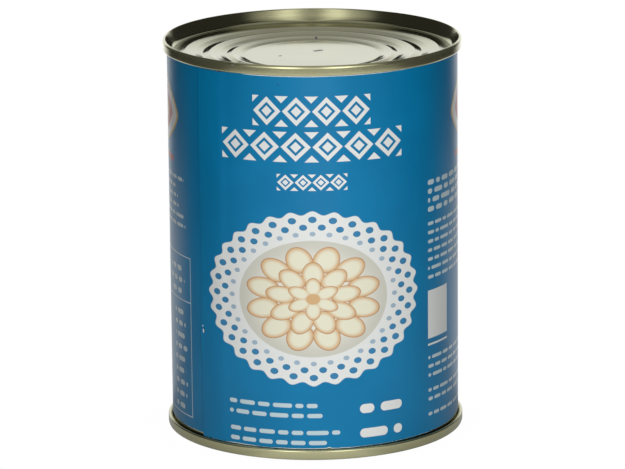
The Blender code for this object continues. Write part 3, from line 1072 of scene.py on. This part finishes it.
@dataclass
class PaperLabel:
    """The paper sheet wound round the body from the lap's outer edge once round and on under itself."""

    finishes: FinishSet
    inner_radius: float = 42.26
    paper: float = 0.12
    gap: float = 0.06
    lap_azimuth: float = -50.2
    lap_angle: float = 10.0
    lap_ramp: float = 4.5
    print_radius: float = 42.38
    edge_azimuths: tuple[float, ...] = (-50.2, -40.0, -30.0, 15.0, 45.0, 75.0, 180.0, 270.0, 319.8)
    foot_heights: tuple[float, ...] = (3.12, 3.12, 3.14, 3.16, 3.42, 3.72, 3.80, 3.86, 3.90)
    head_heights: tuple[float, ...] = (112.38, 112.46, 112.66, 112.72, 112.74, 112.74, 112.74, 112.70, 112.66)
    notch_azimuth: float = 5.2
    notch_depth: float = 0.28
    columns: int = 560
    rows: int = 44

    def azimuths(self) -> Array:
        """Return the columns' azimuths in degrees, with extra ones close to both vertical edges."""
        near = np.array([0.0, 0.04, 0.10, 0.20, 0.35, 0.55, 0.80, 1.2, 1.7])
        span = 360.0 + self.lap_angle
        middle = np.linspace(2.3, span - 2.3, self.columns - 2 * len(near))
        return self.lap_azimuth + np.r_[near, middle, span - near[::-1]]

    def levels(self) -> Array:
        """Return the rows' shares of the height, closer together at the foot and the head."""
        near = np.array([0.0, 0.0008, 0.0018, 0.0035, 0.006, 0.010, 0.016, 0.026])
        return np.r_[near, np.linspace(0.042, 0.958, self.rows - 2 * len(near)), 1.0 - near[::-1]]

    def lift(self, azimuth: Array, height: Array) -> Array:
        """Return how far the sheet stands off the body.

        It is a paper and a gap over the lap, which falls in a smooth step behind it, plus the curl of the lap's loose
        edge: a bell over the height times a fall of 1.2 degrees from the edge.
        """
        past = azimuth - self.lap_azimuth
        ramp = self.lap_angle + 0.6
        over = (self.paper + self.gap) * (1.0 - smooth_step(ramp, ramp + self.lap_ramp, past))
        curl = 0.30 * np.exp(-((height - 32.0) / 3.2) ** 2) + 0.05 * np.exp(-((height - 96.0) / 9.0) ** 2) + 0.03
        return over + curl * np.exp(-past / 0.9)

    def ripple(self, azimuth: Array, height: Array) -> Array:
        """Return the sheet's slight waves: sines of whole numbers round the tin and slow ones up it, 0.02 mm high."""
        turn = np.radians(azimuth)
        slow = 0.010 * np.sin(7 * turn + height * 0.021) * np.sin(0.055 * height + 1.3)
        return slow + 0.006 * np.sin(13 * turn - height * 0.05)

    def surface(self) -> tuple[Surface, dict[str, Array]]:
        """Carry the closed section of the sheet, outer face up and inner face down, along the azimuths.

        Returns:
            The closed surface and the values of its points: the distance to the nearest edge, and the fraying.
        """
        azimuth, level = self.azimuths(), self.levels()
        foot = np.interp(azimuth, self.edge_azimuths, self.foot_heights)
        head = np.interp(azimuth, self.edge_azimuths, self.head_heights)
        turn = np.radians(azimuth)
        ragged = 0.03 * np.sin(31 * turn) * np.sin(11 * turn + 1.0) + 0.02 * np.sin(83 * turn + 2.0) * np.sin(23 * turn)
        foot = foot + ragged * smooth_step(-55.0, -20.0, azimuth)
        foot = foot + self.notch_depth * np.exp(-((azimuth - self.notch_azimuth) / 0.55) ** 2)
        height = foot[:, None] + (head - foot)[:, None] * level[None, :]
        around = np.broadcast_to(azimuth[:, None], height.shape)
        radius = self.inner_radius + self.lift(around, height) + self.ripple(around, height)
        both = np.concatenate([radius + self.paper, radius[:, ::-1]], 1)
        tall = np.concatenate([height, height[:, ::-1]], 1)
        wide = np.concatenate([around, around], 1)
        points = np.stack([both * np.sin(np.radians(wide)), -both * np.cos(np.radians(wide)), tall], 2).reshape(-1, 3)
        count, ring = tall.shape
        quads, steps = grid_quads(count, ring, False, True)
        flat = np.stack([np.radians(wide) * self.print_radius, tall], 2) * MM
        quad_uv = flat[steps[..., 0], steps[..., 1] % ring]
        k = np.arange(self.rows - 1)
        cap = np.stack([k, k + 1, ring - 2 - k, ring - 1 - k], 1)
        last = (count - 1) * ring
        quads = np.vstack([quads, cap[:, ::-1], last + cap])
        quad_uv = np.vstack([quad_uv, flat[0][cap[:, ::-1]], flat[-1][cap]])
        covered = 0.15 * (1.0 - smooth_step(-32.0, -20.0, azimuth) * smooth_step(400.0, 300.0, azimuth))
        to_end = np.radians(np.minimum(azimuth - azimuth[0], azimuth[-1] - azimuth))[:, None]
        to_edge = np.minimum(np.minimum(height - foot[:, None], head[:, None] - height + covered[:, None]),
                             0.08 + self.print_radius * to_end)
        distance = np.concatenate([to_edge, np.full_like(to_edge, -1.0)], 1)
        fray = 0.9 * np.exp(-((around + 30.0) / 6.0) ** 4) + 0.55 * np.exp(-((around / 16.0) ** 4))
        fray = fray + 0.8 * np.exp(-((around - self.notch_azimuth) ** 2))
        fray = fray * np.exp(-((height - foot[:, None]) / 0.30) ** 2)
        head_fray = 0.85 * smooth_step(-30.0, -27.0, around) * smooth_step(60.0, 25.0, around)
        fray = fray + head_fray * np.exp(-((height - head[:, None]) / 0.30) ** 2)
        frayed = np.concatenate([fray, fray[:, ::-1]], 1)
        whole = Surface(points, quads, quad_uv).facing_out()
        return whole, {"edge_distance": np.clip(distance, -1.0, 3.0).ravel(), "fray": frayed.ravel()}

    def build(self) -> None:
        """Make the sheet and dress it."""
        surface, values = self.surface()
        add_piece("label_sheet", "label", surface, self.finishes.label, "Wrap", values)


# The contents


@dataclass
class Chestnut:
    """One peeled water chestnut, trimmed with a knife to flat faces, inside its solid's box."""

    finishes: FinishSet
    node: str
    seed: int
    cuts: int = 15
    lean: float = 0.35
    cut_reach: Point = (0.90, 0.99)
    top_reach: float = 0.97
    bottom_reach: float = 0.98
    barrel_power: float = 2.7
    sharpness: float = 18.0
    scar_radius: float = 0.16
    scar_depth: float = 0.05
    inside: float = 0.985
    rows: int = 26
    columns: int = 40

    def surface(self) -> tuple[Surface, Array]:
        """Shape the nut.

        In each direction d the distance from the middle is a soft minimum, sharper with a higher power, of a
        superellipsoid's reach and of h / (d . n) for each cut plane with normal n at distance h.

        Returns:
            The closed surface, and for each point how much of the scar's tan it shows.
        """
        draw = np.random.default_rng(self.seed)
        low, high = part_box(self.node)
        middle, half = np.array((low + high) / 2.0) / MM, np.array((high - low) / 2.0) / MM * self.inside
        polar = np.linspace(0.0, math.pi, self.rows + 2)
        shell = turned(np.stack([np.sin(polar), -np.cos(polar)], 1), self.columns, closed=False)
        way = shell.points
        spin, lean = draw.uniform(0.0, math.tau, self.cuts), draw.uniform(-self.lean, self.lean, self.cuts)
        planes = np.stack([np.cos(lean) * np.cos(spin), np.cos(lean) * np.sin(spin), np.sin(lean)], 1)
        planes = np.vstack([planes, [0.03, 0.02, 1.0], [-0.02, 0.04, -1.0]])
        reach = np.r_[draw.uniform(*self.cut_reach, self.cuts), self.top_reach, self.bottom_reach]
        barrel = (np.abs(way) ** self.barrel_power).sum(1) ** (-1.0 / self.barrel_power)
        slices = reach / np.maximum(way @ planes.T, 1e-3)
        power = -self.sharpness
        distance = (barrel[:, None] ** power + (slices**power).sum(1, keepdims=True)) ** (1.0 / power)
        body = way * distance
        scar = np.exp(-((np.hypot(body[:, 0], body[:, 1]) / self.scar_radius) ** 2)) * (body[:, 2] > 0.0)
        body[:, 2] -= self.scar_depth * scar
        body *= 0.995 / np.abs(body).max(0)
        shell.points = middle + body * half
        return shell, scar

    def build(self) -> None:
        """Make the nut and dress it."""
        surface, scar = self.surface()
        add_piece(f"{self.node}_trimmed", self.node, surface, self.finishes.chestnut, "Skin",
                  {"scar": scar}, 80.0)


@dataclass
class Contents:
    """The water chestnuts packed in the tin."""

    finishes: FinishSet
    first_seed: int = 35

    def build(self) -> None:
        """Trim a nut for each chestnut node."""
        nodes = sorted(name for name in frame["nodes"] if name.startswith("chestnut_"))
        for seed, node in enumerate(nodes, self.first_seed):
            Chestnut(self.finishes, node, seed).build()


# The studio


@dataclass
class Studio:
    """A white floor, a bright back and front with dark sides, three soft lights, and the camera.

    The world's edges are angles in degrees from +Y, from -Y or from straight up; its lamps' edges are sines of the
    angle to the side.
    """

    floor_half: float = 1.6
    floor_middle: float = 0.02
    floor_sides: Point = (0.05, 0.40)
    floor_widens: Point = (-0.25, -0.08)
    floor_near: Point = (-0.07, -0.025)
    floor_far: Point = (-0.55, -0.38)
    floor_back: Point = (0.12, 0.25)
    back_slant: Point = (0.36, 1.0)
    back_bright: float = 1.4
    floor_ring: Point = (0.22, 0.48)
    ring_slant: Point = (1.4, 3.4)
    floor_bright: float = 0.92
    floor_diffuse: float = 0.30
    contact_reach: float = 0.02
    front: float = 1.5
    front_edge: Point = (32.0, 64.0)
    front_low: Point = (64.0, 50.0)
    front_lamps: float = 2.7
    lamp_inner: Point = (0.10, 0.30)
    lamp_outer: Point = (0.40, 0.62)
    back: float = 1.42
    back_edge: Point = (34.0, 23.0)
    back_low: Point = (76.5, 63.0)
    overhead: float = 0.57
    overhead_edge: Point = (42.0, 22.0)
    dark: float = 0.045
    world_diffuse: float = 0.14
    lens: float = 253.5
    sensor: float = 36.0
    camera_place: Triple = (-0.0004, -1.25907, 0.36585)
    camera_pitch: float = 13.81
    camera_roll: float = -0.0098

    def by_ray(self, g: Graph, bright: Feed, diffuse_share: float, seen: Feed) -> Value:
        """Return a brightness for reflections, a share of it for diffuse light, and another for the camera."""
        rays = g.node("ShaderNodeLightPath").outputs
        shown = bright * (1.0 - Value(g, rays["Is Diffuse Ray"]) * (1.0 - diffuse_share))
        return g.get("ShaderNodeMix", {0: Value(g, rays["Is Camera Ray"]), 2: shown, 3: seen}, data_type="FLOAT")

    def floor(self) -> None:
        """Lay the white floor, seen from above only.

        Reflections show it bright in front, behind and in a ring round the tin's back half, half as bright close to
        the tin's front, and dark far to both sides.
        """
        half = self.floor_half
        mesh = bpy.data.meshes.new("studio_floor")
        corners = [(-half, -half, 0.0), (half, -half, 0.0), (half, half, 0.0), (-half, half, 0.0)]
        mesh.from_pydata(corners, [], [(0, 1, 2, 3)])
        floor = bpy.data.objects.new("studio_floor", mesh)
        bpy.context.scene.collection.objects.link(floor)
        material = bpy.data.materials.new("white_floor")
        material.use_nodes = True
        material.node_tree.nodes.clear()
        g = Graph(material.node_tree)
        x, y, _ = g.split(g.get("ShaderNodeTexCoord", output="Object"))
        aside = abs(x - self.floor_middle) * g.step(*self.floor_widens, y, 0.6, 1.0)
        across = g.step(*self.floor_sides, aside, 1.0, 0.02)
        along = g.step(*self.floor_far, y, 0.5, 1.0) * g.step(*self.floor_near, y, 1.0, 0.5)
        slant = abs(x) / g.most(y, 0.01)
        behind = g.step(*self.floor_back, y) * g.step(*self.back_slant, slant, self.back_bright, 0.0)
        beside = g.below(*self.floor_ring, g.length(x, y)) * g.below(*self.ring_slant, slant)
        # Ambient occlusion paints a contact shadow round the tin's foot: strong in reflections, faint for the camera.
        contact = g.get("ShaderNodeAmbientOcclusion", {"Distance": self.contact_reach}, "AO", samples=8)
        lit = (contact * 0.7 + 0.3) * self.floor_bright * g.most(across * along, g.most(behind, beside))
        strength = self.by_ray(g, lit, self.floor_diffuse, contact * 0.015 + 0.985)
        glow, clear = g.get("ShaderNodeEmission", {"Strength": strength}), g.get("ShaderNodeBsdfTransparent")
        under = g.get("ShaderNodeNewGeometry", output="Backfacing")
        g.node("ShaderNodeOutputMaterial", {"Surface": g.get("ShaderNodeMixShader", {0: under, 1: glow, 2: clear})})
        mesh.materials.append(material)

    def surroundings(self) -> None:
        """Give the world a white view and, for reflections, a bright back and front, two lamps and dark sides."""
        world = bpy.data.worlds.new("studio")
        world.use_nodes = True
        bpy.context.scene.world = world
        world.node_tree.nodes.clear()
        g = Graph(world.node_tree)
        x, y, z = g.split(g.get("ShaderNodeTexCoord", output="Generated"))
        level = g.math("SQRT", x * x + (y * y + 1e-6))
        toward, aside = y / level, abs(x) / level
        front = g.below(*(-cosine(edge) for edge in self.front_edge), toward) * self.front
        lamps = g.step(*self.lamp_inner, aside) * g.below(*self.lamp_outer, aside) * g.math("LESS_THAN", toward, 0.0)
        front = (front + lamps * self.front_lamps) * g.step(*map(cosine, self.front_low), z, 1.0, 0.3)
        back = g.step(*map(cosine, self.back_edge), toward)
        back = back * g.step(*map(cosine, self.back_low), z, 1.0, self.overhead / self.back) * self.back
        above = g.step(*map(cosine, self.overhead_edge), z, 0.0, self.overhead)
        strength = self.by_ray(g, g.most(front, back, above, self.dark), self.world_diffuse, 1.0)
        g.node("ShaderNodeOutputWorld", {"Surface": g.get("ShaderNodeBackground", {"Strength": strength})})

    def light(self, name: str, place: Triple, aim: Triple, size: Point, power: float) -> None:
        """Add a soft rectangular light that neither the camera nor reflections see.

        Args:
            name: The light's name.
            place: Its place in metres.
            aim: The point that it faces.
            size: Its width and height in metres.
            power: Its power in watts.
        """
        lamp = bpy.data.lights.new(name, "AREA")
        lamp.shape = "RECTANGLE"
        lamp.size, lamp.size_y = size
        lamp.energy = power
        holder = bpy.data.objects.new(name, lamp)
        bpy.context.scene.collection.objects.link(holder)
        way = np.array(aim) - np.array(place)
        way = way / np.linalg.norm(way)
        holder.location = place
        holder.rotation_euler = (math.acos(-way[2]), 0.0, math.atan2(-way[0], way[1]))
        holder.visible_camera = holder.visible_glossy = False

    def camera(self) -> None:
        """Stand the camera where the photograph was taken."""
        lens = bpy.data.cameras.new("view")
        lens.lens, lens.sensor_width, lens.sensor_fit = self.lens, self.sensor, "HORIZONTAL"
        lens.clip_start, lens.clip_end = 0.01, 20.0
        holder = bpy.data.objects.new("view", lens)
        bpy.context.scene.collection.objects.link(holder)
        tilt = Matrix.Rotation(math.pi / 2.0 - math.radians(self.camera_pitch), 4, "X")
        holder.matrix_world = Matrix.Translation(self.camera_place) @ tilt @ Matrix.Rotation(self.camera_roll, 4, "Z")
        bpy.context.scene.camera = holder

    def build(self) -> None:
        """Set up the whole studio."""
        self.floor()
        self.surroundings()
        self.light("front_key", (0.019, -0.30, 0.042), (0.0, 0.0, 0.055), (0.15, 0.18), 0.75)
        self.light("back_key", (0.0, 1.5, 0.45), (0.0, 0.0, 0.06), (0.5, 0.5), 21.0)
        self.light("overhead", (0.0, 0.22, 1.0), (0.0, 0.05, 0.1), (0.35, 0.30), 3.0)
        self.camera()
        bpy.context.scene.view_settings.view_transform = "Standard"


def main() -> None:
    """Build the tin and its studio."""
    logging.basicConfig(level=logging.INFO, format="%(name)s: %(message)s")
    finishes = FinishSet()
    Studio().build()
    TinBody(finishes).build()
    for side in Side:
        TinEnd(finishes, side).build()
        SealRing(finishes, side).build()
    PaperLabel(finishes).build()
    Contents(finishes).build()


if __name__ == "__main__":
    main()
